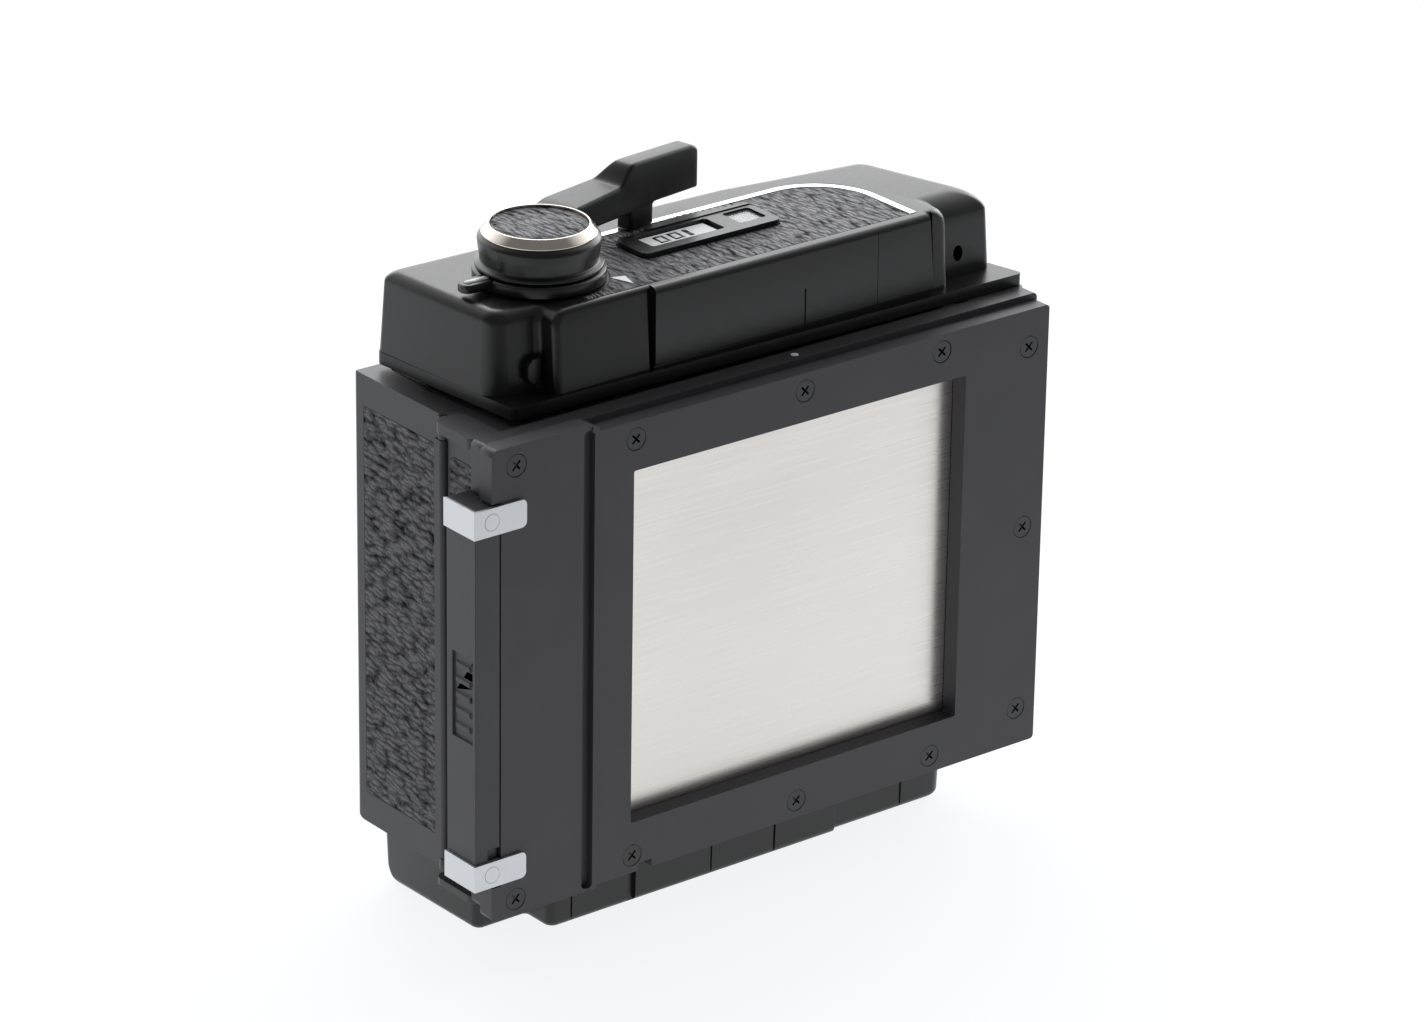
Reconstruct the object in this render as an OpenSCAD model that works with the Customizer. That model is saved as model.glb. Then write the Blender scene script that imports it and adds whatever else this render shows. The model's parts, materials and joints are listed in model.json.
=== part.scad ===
// Roll film magazine: a sliding-plate film back that stands on its spool end.
// Inside place(), x and z are measured from the middle of the front plate and y from its front face.

/* [Front plate] */
// Width of the front plate
plate_w = 125.8; // [125.4:0.1:126.2]
// Height of the right part of the front plate
plate_h = 87; // [86.8:0.1:87.2]
// Thickness of the front plate
plate_t = 3.5; // [3.4:0.05:3.5]
// Width of the opening in the front plate
opening_w = 75.6; // [72:0.2:76]
// Height of the opening in the front plate
opening_h = 67.8; // [64:0.2:68.4]

/* [Film] */
// Width of the picture on the film
frame_w = 69.5; // [56:0.5:70]
// Height of the picture on the film
frame_h = 56; // [54:0.5:56]
// Radius of a spool's flange
spool_flange_r = 12.6; // [12:0.1:12.8]
// Length of a spool over its ends
spool_len = 65.2; // [65:0.1:65.6]

/* [Casing] */
// Width of the casing behind the plate
case_w = 115; // [114.8:0.1:115.2]
// Height of the casing
case_h = 87.2; // [87:0.1:87.4]
// Depth at which the rear cover meets the casing
parting_y = 22.5; // [22.4:0.05:22.5]
// Depth of the back of the rear cover
back_y = 48.5; // [48.4:0.1:49]
// Thickness of the casing's walls
wall = 2; // [1.8:0.1:2]

/* [Winding block] */
// Height of the deck above the middle of the plate
deck_z = 62.4; // [62.3:0.05:62.5]
// Distance of the lever's axis from the middle of the plate
hub_x = -33.5; // [-33.6:0.05:-33.4]
// Depth of the lever's axis
hub_y = 26; // [25.95:0.05:26.05]
// Gear module
gear_m = 0.5; // [0.5:0.5:0.5]
// Teeth on the lever's gear
lever_teeth = 28; // [28:1:28]
// Teeth on the take-up gear
takeup_teeth = 18; // [18:1:18]

/* [Hidden] */
$fn = 48;
base_z = 56.3;
middle_x = 2.05;
middle_y = -24.825;
half_w = plate_w/2;
half_h = plate_h/2;
left_z0 = -44.2;
left_z1 = 45.3;
opening_x = 5.54;
opening_z = 0.3;
groove_x0 = -43.2;
groove_x1 = -41;
screw_xz = [
  [-57.6, 41.5], [-57.6, -41], [-31.84, 40.1], [-31.84, -40.1], [5.81, 40.1], [5.81, -40.1],
  [37.46, 40.1], [37.46, -40.1], [58.3, 36.2], [58.3, 0.6], [58.3, -36.2]
];
screw_head_r = 2;
screw_r = 0.95;
sheet_y0 = 3.65;
sheet_y1 = 4.15;
sheet_half_h = 36.6;
sheet_end_x = 46;
handle_x0 = -66.4;
handle_x1 = -61.1;
handle_y1 = 8.4;
handle_z0 = -37.2;
handle_z1 = 35.2;
clip_t = 0.6;
clip_z = [[30, 35.2], [-36.9, -31.9]];
clip_end_x = -55.8;
rivet_x = -63.2;
case_x = case_w/2;
case_z = case_h/2;
flange_x = half_w - 1.1;
flange_x1 = half_w - 0.05;
flange_y1 = 7.5;
flange_z1 = 44.8;
front_wall_y1 = 8.5;
inner_x = case_x - wall - 0.2;
inner_z = case_z - wall;
deck_x = 52;
deck_y1 = 44;
hinge_x = -57.3;
hinge_y = 21.45;
barrel_r = 1.1;
barrel_z0 = -41.3;
barrel_z1 = 39.3;
hinge_pin_r = 0.6;
leather_t = 0.5;
side_leather_y0 = 23.1;
side_leather_y1 = 45.3;
leather_z = 37.6;
back_leather_x = 52;
gate_x = 42;
gate_z = 37.9;
spool_x = 33.5;
spool_end = spool_len/2;
insert_z0 = 34.2;
insert_z1 = 36.2;
roller_r = 2.4;
roller_x = 50.6;
roller_y = 13.2;
metering_xy = [-49.6, 38.2];
roller_half = 32.5;
axle_r = 1;
running = 0.05;
rim_z0 = 44.9;
rim_z1 = 47.2;
deck_wall = 1.6;
roof_z = deck_z - deck_wall;
idler_small_teeth = lever_teeth/2;
idler_big_teeth = 24;
gear_gap = gear_m*(lever_teeth + idler_small_teeth)/2;
idler_x = hub_x + gear_gap;
low_gear_z0 = 48.6;
low_gear_z1 = 51.4;
high_gear_z0 = 54;
high_gear_z1 = 56.6;
bridge_z0 = 52.3;
bridge_z1 = 53.3;
takeup_shaft_r = 2.5;
lever_shaft_r = 3;
journal_r = 1.5;
lever_angle = 12.6;
shaft_top_z = deck_z + 8.1;
seat_r = 3.2;
foot_x0 = 24.7;
dial_x = 10.5;
dial_y = 30.6;
dial_r = 9.4;
dial_z0 = 58.8;
inset_y0 = 12.2;
trim_x1 = 40.8;
trim_y1 = 37;
trim_w = 1.5;
trim_r = 13.5;
block_bottom_z = -case_z;
base_levels = [[0.07, 0], [11.4, 0.4], [12.2, 0.8], [12.7, 1.6]];
base_step_x = 24;
swing_r = 109.3;
rib_pitch = 2.9;
mech_screws = [[-46, 20], [46, 20], [-46, 38], [46, 35]];
base_screws = [[-39, 18], [44, 18], [-39, 39.8], [44, 39.8]];

module place() { translate([middle_x, middle_y, base_z]) children(); }
module box(x0, x1, y0, y1, z0, z1) { translate([x0, y0, z0]) cube([x1 - x0, y1 - y0, z1 - z0]); }
module rod_x(y, z, r, x0, x1) { translate([x0, y, z]) rotate([0, 90, 0]) cylinder(r = r, h = x1 - x0); }
module rod_y(x, z, r, y0, y1) { translate([x, y1, z]) rotate([90, 0, 0]) cylinder(r = r, h = y1 - y0); }
module rod_z(x, y, r, z0, z1) { translate([x, y, z0]) cylinder(r = r, h = z1 - z0); }

// A rectangle from (u0, v0) to (u1, v1) with true round corners
module round_rect(u0, u1, v0, v1, r) {
  translate([u0 + r, v0]) square([u1 - u0 - 2*r, v1 - v0]);
  translate([u0, v0 + r]) square([u1 - u0, v1 - v0 - 2*r]);
  for (u = [u0 + r, u1 - r], v = [v0 + r, v1 - r]) translate([u, v]) circle(r = r);
}
// A plate that lies in x and z
module panel(x0, x1, z0, z1, y0, y1, r) {
  translate([0, y1, 0]) rotate([90, 0, 0]) linear_extrude(y1 - y0) round_rect(x0, x1, z0, z1, r);
}
// A plate that lies in y and z
module side_panel(y0, y1, z0, z1, x0, x1, r) {
  translate([x0, 0, 0]) rotate([90, 0, 90]) linear_extrude(x1 - x0) round_rect(y0, y1, z0, z1, r);
}
// A plate that lies in x and y
module slab(x0, x1, y0, y1, z0, z1, r) {
  translate([0, 0, z0]) linear_extrude(z1 - z0) round_rect(x0, x1, y0, y1, r);
}
module ring_z(x, y, r_in, r_out, z0, z1) {
  difference() {
    rod_z(x, y, r_out, z0, z1);
    rod_z(x, y, r_in, z0 - 1, z1 + 1);
  }
}

// ---- front plate ----
module countersink(x, z) {
  rod_y(x, z, screw_r + running, -1, plate_t + 1);
  rod_y(x, z, screw_head_r + 0.15, -1, 0.11);
  translate([x, 1.1, z]) rotate([90, 0, 0])
    cylinder(r1 = screw_r + running, r2 = screw_head_r + 0.15, h = 1);
}
module front_plate() place() color("#2b2b2d") difference() {
  union() {
    panel(groove_x1 - 1, half_w, -half_h, half_h, 0, plate_t, 0.8);
    panel(-half_w, groove_x1, left_z0, left_z1, 0, plate_t, 1.3);
    panel(groove_x1 - 0.6, groove_x1 + 1, left_z0, left_z1 - 0.7, -0.25, plate_t, 0.7);
  }
  panel(opening_x - opening_w/2, opening_x + opening_w/2, opening_z - opening_h/2,
    opening_z + opening_h/2, -1, plate_t + 1, 0.4);
  panel(groove_x0, groove_x1, left_z0 + 0.6, left_z1 - 1.2, -1, 1.2, 1);
  box(-half_w - 1, handle_x1 + 0.2, -1, plate_t + 1, handle_z0 - 0.3, handle_z1 + 0.3);
  box(-30.4, -27.4, -1, plate_t + 1, -half_h - 1, -half_h + 1.5);
  for (s = screw_xz) countersink(s[0], s[1]);
}
module plate_screws() place() color("#1c1c1e") for (s = screw_xz) difference() {
  union() {
    rod_y(s[0], s[1], screw_r, 0.6, front_wall_y1 - 1);
    translate([s[0], 1.1, s[1]]) rotate([90, 0, 0]) cylinder(r1 = screw_r, r2 = screw_head_r, h = 1);
  }
  for (a = [45, 135]) translate([s[0], 0, s[1]]) rotate([0, a, 0])
    translate([-1.1, -1, -0.2]) cube([2.2, 1.75, 0.4]);
}

// ---- fixed casing ----
module body_frame() place() color("#2a2a2c") difference() {
  union() {
    panel(-flange_x, flange_x1, -half_h + 0.1, flange_z1, plate_t, flange_y1, 1);
    slab(50, flange_x1, flange_y1 - 0.5, 12, case_z - 1, flange_z1, 1);
    box(-case_x, case_x, flange_y1 - 1, parting_y, -case_z, case_z);
    for (z = [-case_z, inner_z]) intersection() {
      box(-deck_x, case_x, parting_y - 1, deck_y1, z, z + wall);
      rod_z(hinge_x, hinge_y, swing_r, z - 1, z + wall + 1);
    }
    rod_z(hinge_x, hinge_y, barrel_r, barrel_z1 + 0.1, case_z);
    rod_z(hinge_x, hinge_y, barrel_r, -case_z, barrel_z0 - 0.1);
    slab(-61.7, -55.4, flange_y1 - 0.5, 18.9, case_z - 0.9, case_z + 1.1, 2);
    slab(-61.7, -55.4, flange_y1 - 0.5, 18.9, -case_z - 0.4, -case_z + 1, 2);
  }
  // film chamber
  box(-inner_x, inner_x, front_wall_y1, parting_y + 1, -inner_z, inner_z);
  // seat of the film gate
  box(opening_x - gate_x, opening_x + gate_x, plate_t - 1, front_wall_y1 + 1, -gate_z, gate_z);
  // slot of the dark slide
  box(-flange_x - 1, sheet_end_x + 1.2, plate_t - 1, sheet_y1 + 0.2, -sheet_half_h - 0.4, sheet_half_h + 0.4);
  // seat of the light trap
  box(-55, -50.8, plate_t, sheet_y1 + 1.4, -sheet_half_h - 0.4, sheet_half_h + 0.4);
  // room for the handle of the dark slide
  box(-flange_x - 1, handle_x1 + 0.2, plate_t - 1, handle_y1 + 1, handle_z0 - 0.3, handle_z1 + 0.3);
  // room for the hinge barrel and its leaf
  box(-case_x - 1, -case_x + 1.5, hinge_y - 1.4, parting_y + 1, barrel_z0, barrel_z1);
  rod_z(hinge_x, hinge_y, hinge_pin_r + 0.02, -case_z - 1, case_z + 1);
  // slots of the two lugs
  for (z = [40.2, -41.8]) box(-case_x - 1, -case_x + 1.4, 13.2, 18.9, z, z + 1.6);
  // seat of the leather patch
  side_panel(12.9, 19.6, -36.2, 36.9, -case_x - 1, -case_x + leather_t, 1.5);
  // seats of the rear light seals
  box(inner_x + 0.5, case_x - 0.4, parting_y - 0.8, parting_y + 1, -inner_z, inner_z);
  for (s = screw_xz) rod_y(s[0], s[1], screw_r + running, plate_t - 1, front_wall_y1 - 0.8);
  rod_z(hub_x, hub_y, takeup_shaft_r + running, inner_z - 1, case_z + 1);
  for (p = mech_screws) rod_z(p[0], p[1], screw_r + running, inner_z - 1, case_z + 1);
  for (p = base_screws) rod_z(p[0], p[1], screw_r + running, -case_z - 1, -inner_z + 1);
}
module film_gate() place() color("#1a1a1c") difference() {
  union() {
    box(opening_x - gate_x + 0.1, opening_x + gate_x - 0.1, sheet_y1 + 0.3, front_wall_y1 - 0.1, -gate_z + 0.1, gate_z - 0.1);
    for (z = [-31.6, 30.4]) box(opening_x - gate_x + 2, opening_x + gate_x - 2, front_wall_y1 - 0.2, front_wall_y1 + 0.4, z, z + 1.2);
  }
  box(opening_x - frame_w/2, opening_x + frame_w/2, 0, 20, -frame_h/2, frame_h/2);
}
module light_trap_felt() place() color("#101010")
  box(-54.9, -50.9, sheet_y1 + 0.05, sheet_y1 + 1.35, -sheet_half_h, sheet_half_h);
module body_leather_patch() place() color("#1d1d1f")
  side_panel(13, 19.5, -36.1, 36.8, -case_x - 0.05, -case_x + leather_t - 0.05, 1.4);
module hinge_pin() place() color("#6f6f72") rod_z(hinge_x, hinge_y, hinge_pin_r, -case_z + 0.2, case_z - 0.2);
module cover_light_seals() place() color("#0e0e0e")
  box(inner_x + 0.6, case_x - 0.5, parting_y - 0.75, parting_y + 0.02, -inner_z + 0.1, inner_z - 0.1);

// ---- dark slide ----
module dark_slide_sheet() place() color("#c9c5bd") difference() {
  panel(handle_x1 - 1.4, sheet_end_x, -sheet_half_h, sheet_half_h, sheet_y0, sheet_y1, 1.2);
  box(handle_x1 - 2, handle_x1 + 0.1, 0, 9, handle_z1 - 0.2, 60);
}
module dark_slide_handle() place() color("#252527") {
  difference() {
    box(handle_x0, handle_x1, 0, handle_y1, handle_z0, handle_z1);
    box(handle_x1 - 1.5, handle_x1 + 1, sheet_y0 - 0.01, sheet_y1 + 0.01, -sheet_half_h - 0.05, handle_z1 + 1);
    box(handle_x0 - 1, handle_x0 + 0.5, 0.9, 6.7, -9, 7);
    box(handle_x1 - 2.6, handle_x1 + 1, -1, 0.8, clip_z[1][1] + 0.1, clip_z[1][1] + 2.1);
    for (c = clip_z) rod_y(rivet_x, (c[0] + c[1])/2, 0.8, -1, 3);
  }
  for (i = [-2:2]) box(handle_x0 + 0.05, handle_x0 + 0.6, 1.7, 5.9, i*rib_pitch - 1.5, i*rib_pitch - 0.5);
}
module handle_clips() place() color("#e8e8ea") for (c = clip_z) difference() {
  union() {
    panel(handle_x0 - clip_t, clip_end_x, c[0], c[1], -clip_t, -0.02, 1.1);
    box(handle_x0 - clip_t, handle_x0 + 2, -clip_t, -0.02, c[0], c[1]);
    box(handle_x0 - clip_t, handle_x0 - 0.02, -clip_t, handle_y1, c[0], c[1]);
  }
  rod_y(rivet_x, (c[0] + c[1])/2, 1.55, -1, 0.5);
}
module clip_rivets() place() color("#d8d8d8") for (c = clip_z) {
  rod_y(rivet_x, (c[0] + c[1])/2, 1.5, -clip_t, -0.02);
  rod_y(rivet_x, (c[0] + c[1])/2, 0.75, -0.1, 2.9);
}

// ---- rear cover ----
module rear_cover() place() color("#262628") difference() {
  union() {
    difference() {
      union() {
        intersection() {
          slab(-case_x, case_x, parting_y - 5, back_y, -case_z, case_z, 1.2);
          hull() {
            box(-case_x, case_x, parting_y + 0.1, parting_y + 1, -case_z, case_z);
            rod_x(back_y - 1, case_z - 1, 1, -case_x, case_x);
            rod_x(back_y - 2.4, 2.4 - case_z, 2.4, -case_x, case_x);
          }
        }
      }
      box(-inner_x + 0.6, inner_x, parting_y - 1, back_y - wall, -inner_z - 0.1, inner_z + 0.1);
      for (z = [-case_z - 1, inner_z - 0.5]) intersection() {
        box(-deck_x - 0.3, case_x, parting_y - 1, deck_y1 + 0.3, z, z + wall + 1.5);
        rod_z(hinge_x, hinge_y, swing_r + 0.3, z - 1, z + wall + 2);
      }
      side_panel(side_leather_y0 - 0.1, side_leather_y1 + 0.1, -leather_z - 0.1, leather_z + 0.1, -case_x - 1, -case_x + leather_t, 0.8);
      side_panel(side_leather_y0 - 0.1, side_leather_y1 + 0.1, -leather_z - 0.1, leather_z + 0.1, case_x - leather_t, case_x + 1, 0.8);
      panel(-back_leather_x - 0.1, back_leather_x + 0.1, -leather_z - 0.1, leather_z + 0.1, back_y - leather_t, back_y + 1, 1.5);
    }
    rod_z(hinge_x, hinge_y, barrel_r, barrel_z0 + 0.1, barrel_z1 - 0.1);
    box(-case_x - 0.9, -case_x + 1.3, hinge_y, parting_y + 0.5, barrel_z0 + 0.1, barrel_z1 - 0.1);
  }
  rod_z(hinge_x, hinge_y, hinge_pin_r + running, -case_z - 1, case_z + 1);
  // slot of the latch
  box(case_x - wall - 2, case_x + 1, 26.9, 30.1, -4, 8);
}
module cover_leather_left() place() color("#1d1d1f")
  side_panel(side_leather_y0, side_leather_y1, -leather_z, leather_z, -case_x, -case_x + leather_t - 0.05, 0.7);
module cover_leather_right() place() color("#1d1d1f") difference() {
  side_panel(side_leather_y0, side_leather_y1, -leather_z, leather_z, case_x - leather_t + 0.05, case_x, 0.7);
  side_panel(24.4, 33.6, -11, 15, case_x - 2, case_x + 1, 1);
}
module cover_leather_back() place() color("#1d1d1f")
  panel(-back_leather_x, back_leather_x, -leather_z, leather_z, back_y - leather_t + 0.05, back_y, 1.4);
module memo_holder() place() color("#303033") difference() {
  panel(-30, 30, -22, 24, back_y + 0.05, back_y + 1.75, 2);
  panel(-26.5, 26.5, -18.5, 30, back_y - 1, back_y + 3, 1);
  box(-28.6, 28.6, back_y - 1, back_y + 1.05, -20.6, 30);
}
module cover_latch() place() color("#2c2c2e") {
  difference() {
    side_panel(25, 33, -10, 8, case_x + 0.05, case_x + 2.6, 1.2);
    for (z = [-8:2:6]) box(case_x + 2, case_x + 3, 24, 34, z - 0.4, z + 0.4);
  }
  box(case_x - wall - 1.2, case_x + 1, 27, 30, -3.9, 2.1);
  box(case_x - wall - 1.8, case_x - wall - 0.6, 24, 33, -6, 4);
}

// ---- film insert ----
module end_tray(z0, z1, skirt_z0, skirt_z1) {
  slab(-53.6, 53.6, 10.6, 42, z0, z1, 3);
  difference() {
    slab(-53.6, 53.6, 10.6, 42, skirt_z0, skirt_z1, 3);
    slab(-52.1, 52.1, 12.1, 40.5, skirt_z0 - 1, skirt_z1 + 1, 1.5);
  }
}
module insert_frame() place() color("#3a3a3d") difference() {
  union() {
    end_tray(insert_z0, insert_z1, insert_z1 - 0.5, inner_z - 0.3);
    end_tray(-insert_z1, -insert_z0, -inner_z + 0.3, -insert_z1 + 0.5);
    box(-44, 44, 11.6, 12.8, -insert_z0 - 0.5, insert_z0 + 0.5);
    box(-17.5, -16, 12, 38, -insert_z0 - 0.5, insert_z0 + 0.5);
    box(16, 17.5, 12, 38, -insert_z0 - 0.5, insert_z0 + 0.5);
  }
  for (x = [-roller_x, roller_x]) rod_z(x, roller_y, axle_r + running, -inner_z, inner_z);
  rod_z(metering_xy[0], metering_xy[1], axle_r + running, -inner_z, inner_z);
  rod_z(hub_x, hub_y, takeup_shaft_r + running, 0, inner_z);
  for (x = [-spool_x, spool_x]) rod_z(x, hub_y, 2.45, -inner_z, -20);
  rod_z(spool_x, hub_y, 2.41, 20, inner_z);
  for (x = [-30, 40], z = [-25, 25]) rod_y(x, z, 1.05, 9, 14);
}
module roller(x, y, r) place() color("#b9b9bb") {
  rod_z(x, y, r, -roller_half, roller_half);
  rod_z(x, y, axle_r, -insert_z1, insert_z1);
}
module takeup_side_roller() roller(-roller_x, roller_y, roller_r);
module supply_side_roller() roller(roller_x, roller_y, roller_r);
module metering_roller() roller(metering_xy[0], metering_xy[1], 2);
module pressure_plate() place() color("#141416") {
  difference() {
    panel(-36, 46.5, -31.9, 31.9, 9.15, 10.15, 1.5);
    for (z = [-20:10:20]) panel(-30, 41, z - 2, z + 2, 9, 9.4, 1.5);
  }
  for (x = [-30, 40], z = [-25, 25]) rod_y(x, z, 1, 10, 13);
}
module pressure_springs() place() color("#8f8f92") for (z = [-17, 17]) {
  box(-24, 30, 11.35, 11.55, z - 3, z + 3);
  for (x = [-22, 24]) box(x, x + 4, 10.2, 11.4, z - 1, z + 1);
}
module spool_end_cuts(x, s) {
  rod_z(x, hub_y, 2.75, s > 0 ? spool_end - 6 : -spool_end - 1, s > 0 ? spool_end + 1 : -spool_end + 6);
  box(x - 4.6, x + 4.6, hub_y - 1.1, hub_y + 1.1, s > 0 ? spool_end - 3.6 : -spool_end - 1, s > 0 ? spool_end + 1 : -spool_end + 3.6);
}
module takeup_spool() place() color("#17171a") difference() {
  union() {
    rod_z(hub_x, hub_y, 6, -spool_end + 0.5, spool_end - 0.5);
    rod_z(hub_x, hub_y, 5.2, -spool_end, spool_end);
    for (z = [-spool_end + 0.7, spool_end - 1.7]) rod_z(hub_x, hub_y, spool_flange_r, z, z + 1);
  }
  spool_end_cuts(hub_x, 1);
  spool_end_cuts(hub_x, -1);
  box(hub_x - 7, hub_x + 7, hub_y - 0.75, hub_y + 0.75, -22, 22);
}
module takeup_shaft() place() color("#a8a8aa") {
  rod_z(hub_x, hub_y, takeup_shaft_r, spool_end - 4.6, bridge_z0 - 0.2);
  box(hub_x - 4.2, hub_x + 4.2, hub_y - 1, hub_y + 1, spool_end - 3.2, spool_end + 0.2);
}
module lower_pin(x) {
  rod_z(x, hub_y, 2.4, -insert_z1 - 0.5, -spool_end + 2.6);
  rod_z(x, hub_y, 4.6, -insert_z1 - 2.2, -insert_z1 - 0.4);
}
module takeup_lower_pin() place() color("#b0b0b2") lower_pin(hub_x);
module supply_lower_pin() place() color("#b0b0b2") lower_pin(spool_x);
module supply_upper_pin() place() color("#b0b0b2") {
  rod_z(spool_x, hub_y, 2.4, spool_end - 2.6, insert_z1 + 0.5);
  rod_z(spool_x, hub_y, 4, insert_z1 + 0.02, insert_z1 + 1.2);
}
module pin_spring(x) place() color("#8f8f92") {
  box(x - 12, x - 9.5, hub_y - 2.5, hub_y + 2.5, -insert_z1 - 0.6, -insert_z1 - 0.05);
  box(x - 12, x + 3, hub_y - 2.5, hub_y + 2.5, -insert_z1 - 3, -insert_z1 - 2.45);
  box(x - 12, x - 11.4, hub_y - 2.5, hub_y + 2.5, -insert_z1 - 3, -insert_z1 - 0.05);
}
module takeup_pin_spring() pin_spring(hub_x);
module supply_pin_spring() pin_spring(spool_x);

// ---- gears ----
function deg(a) = a*180/PI;
function involute(a) = tan(a) - a*PI/180;
function press_at(r, rb) = r > rb ? acos(rb/r) : 0;
// Half of a tooth's angle at radius r, thinned a little for backlash
function half_tooth(n, r) = let (rp = gear_m*n/2, rb = rp*cos(20))
  90*0.88/n + deg(involute(20) - involute(press_at(r, rb)));
module gear(n, x, y, z0, z1, bore_r, phase) {
  rp = gear_m*n/2;
  radii = [rp - 1.2*gear_m, rp - 0.4*gear_m, rp + 0.25*gear_m, rp + 0.9*gear_m];
  points = [for (k = [0:n - 1], s = [-1, 1], i = [0:3])
    let (r = radii[s < 0 ? i : 3 - i], a = phase + 360*k/n + s*half_tooth(n, r)) [r*cos(a), r*sin(a)]];
  translate([x, y, z0]) difference() {
    linear_extrude(z1 - z0) polygon(points);
    translate([0, 0, -1]) cylinder(r = bore_r, h = z1 - z0 + 2);
  }
}
module takeup_gear() place() color("#b08d3c")
  gear(takeup_teeth, hub_x, hub_y, low_gear_z0, low_gear_z1, takeup_shaft_r, 0);
module idler_gear() place() color("#b08d3c") {
  gear(idler_big_teeth, idler_x, hub_y, low_gear_z0, low_gear_z1, journal_r + running, 180/idler_big_teeth);
  gear(idler_small_teeth, idler_x, hub_y, high_gear_z0, high_gear_z1, journal_r + running, 180/idler_small_teeth);
  ring_z(idler_x, hub_y, journal_r + running, 2.5, low_gear_z1 - 0.1, high_gear_z0 + 0.1);
}
module idler_post() place() color("#a8a8aa") {
  rod_z(idler_x, hub_y, journal_r, rim_z1 - 1.5, high_gear_z1 + 1);
  rod_z(idler_x, hub_y, 2.6, rim_z1 + 0.02, low_gear_z0 - 0.1);
  rod_z(idler_x, hub_y, 2.4, high_gear_z1 + 0.1, high_gear_z1 + 0.9);
}
module lever_gear() place() color("#b08d3c")
  gear(lever_teeth, hub_x, hub_y, high_gear_z0, high_gear_z1, lever_shaft_r, 0);
module lever_shaft() place() color("#a8a8aa") {
  rod_z(hub_x, hub_y, lever_shaft_r, bridge_z1 + 0.15, shaft_top_z);
  rod_z(hub_x, hub_y, journal_r, bridge_z0 + 0.1, bridge_z1 + 1);
}
function spiral(i, r0, pitch, side) = let (a = i*15, r = r0 + pitch*a/360 + side) [r*cos(a), r*sin(a)];
module lever_return_spring() place() color("#77777a") translate([hub_x, hub_y, high_gear_z1 + 0.6])
  linear_extrude(2.2) polygon(concat(
    [for (i = [0:84]) spiral(i, 3.9, 0.95, 0.12)],
    [for (i = [84:-1:0]) spiral(i, 3.9, 0.95, -0.12)]));
module bearing_bridge() place() color("#8a8a8d") difference() {
  union() {
    slab(-38.5, -14, 20.8, 31.2, bridge_z0, bridge_z1, 1.5);
    for (p = [[-15.6, 22.4], [-15.6, 29.6]]) rod_z(p[0], p[1], 1.5, rim_z1 + 0.02, bridge_z0 + 0.1);
    rod_z(-42.2, hub_y, 1.5, rim_z1 + 0.02, bridge_z0 + 0.1);
    box(-43.5, -38, 24.6, 27.4, bridge_z0, bridge_z1);
  }
  rod_z(hub_x, hub_y, journal_r + running, bridge_z0 - 1, bridge_z1 + 1);
  rod_z(idler_x, hub_y, 3, bridge_z0 - 1, bridge_z1 + 1);
}

// ---- winding block ----
// Corners of the plate the block stands on: x, y and radius
rim_corners = [[-50.3, 10.4, 1], [-52.6, 44.7, 1.6], [19.9, 43.2, 1.6], [51, 36.6, 5], [61.9, 8.6, 0.9]];
module mechanism_plate() place() color("#232325") difference() {
  union() {
    hull() for (c = rim_corners) rod_z(c[0], c[1], c[2], rim_z0, rim_z1);
    slab(-48.5, 48.5, 12, 40.5, case_z + 0.05, rim_z0 + 0.1, 1);
  }
  rod_z(hub_x, hub_y, takeup_shaft_r + running, case_z - 1, rim_z1 + 1);
  rod_z(idler_x, hub_y, journal_r + 0.01, rim_z1 - 1.6, rim_z1 + 1);
  rod_z(dial_x, dial_y, 1.21, rim_z1 - 1.6, rim_z1 + 1);
  for (p = mech_screws) rod_z(p[0], p[1], screw_r + running, case_z - 1, rim_z1 + 1);
}
// Corners of the block at its foot: x, y, radius, and the way in from the corner
block_corners = [
  [-48, 18.9, 4, 1, 1], [-52.5, 44.8, 1.6, 1, -1], [19.9, 43.3, 1.6, 0, -1],
  [48.4, 37, 5, -1, -1], [57.8, 14.9, 1.6, -1, 1]
];
least_r = 0.4;
module block_shape(levels) {
  hull() for (l = levels, c = block_corners) let (more = max(l[1] - c[2] + least_r, 0))
    translate([c[0] + c[3]*more, c[1] + c[4]*more, l[0]])
      cylinder(r = c[2] - l[1] + more, h = 0.02, $fn = 32);
}
module nose_shape(levels) {
  hull() for (l = levels)
    translate([-41.5 + l[1], 9.9 + l[2], l[0]]) cube([89 - 2*l[1], 20, 0.02]);
}
module top_cover() place() color("#1b1b1d") difference() {
  union() {
    block_shape([[rim_z1 + 0.02, 0], [59.6, 0.9], [61.2, 1.5], [62.1, 2.6], [deck_z - 0.02, 3.9]]);
    nose_shape([[rim_z1 + 0.02, 0, 0], [61.2, 0, 1.1], [62, 0.3, 1.4], [deck_z - 0.02, 0.8, 2]]);
  }
  block_shape([[rim_z1 - 1, 1.6], [roof_z, 2.6]]);
  nose_shape([[rim_z1 - 1, 1.6, 1.6], [roof_z, 1.6, 2.8]]);
  rod_z(hub_x, hub_y, lever_shaft_r + running, roof_z - 1, deck_z + 1);
  translate([0, 0, deck_z - 0.5]) linear_extrude(2) inset_plan(0.05, trim_x1, trim_y1);
  slab(10.2, 16.2, 24.5, 30.1, roof_z - 1, deck_z + 1, 0.6);
  // hole of the lock button, slits beside the fascia, cable hole
  box(-45.2, -42, 12, 19, 48.5, 53.5);
  rod_y(52.8, 51.4, 1.3, 10, 14.6);
}
module fascia_profile() {
  polygon([[9.5, 47.8], [9.9, 47.8], [10.9, 60.6], [10.9, 61.3], [10.4, 61.7], [9.8, 61.5], [9.5, 60.9]]);
}
module front_fascia() place() color("#1e1e20") translate([-20.4, 0, 0])
  rotate([90, 0, 90]) linear_extrude(64) fascia_profile();
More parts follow.
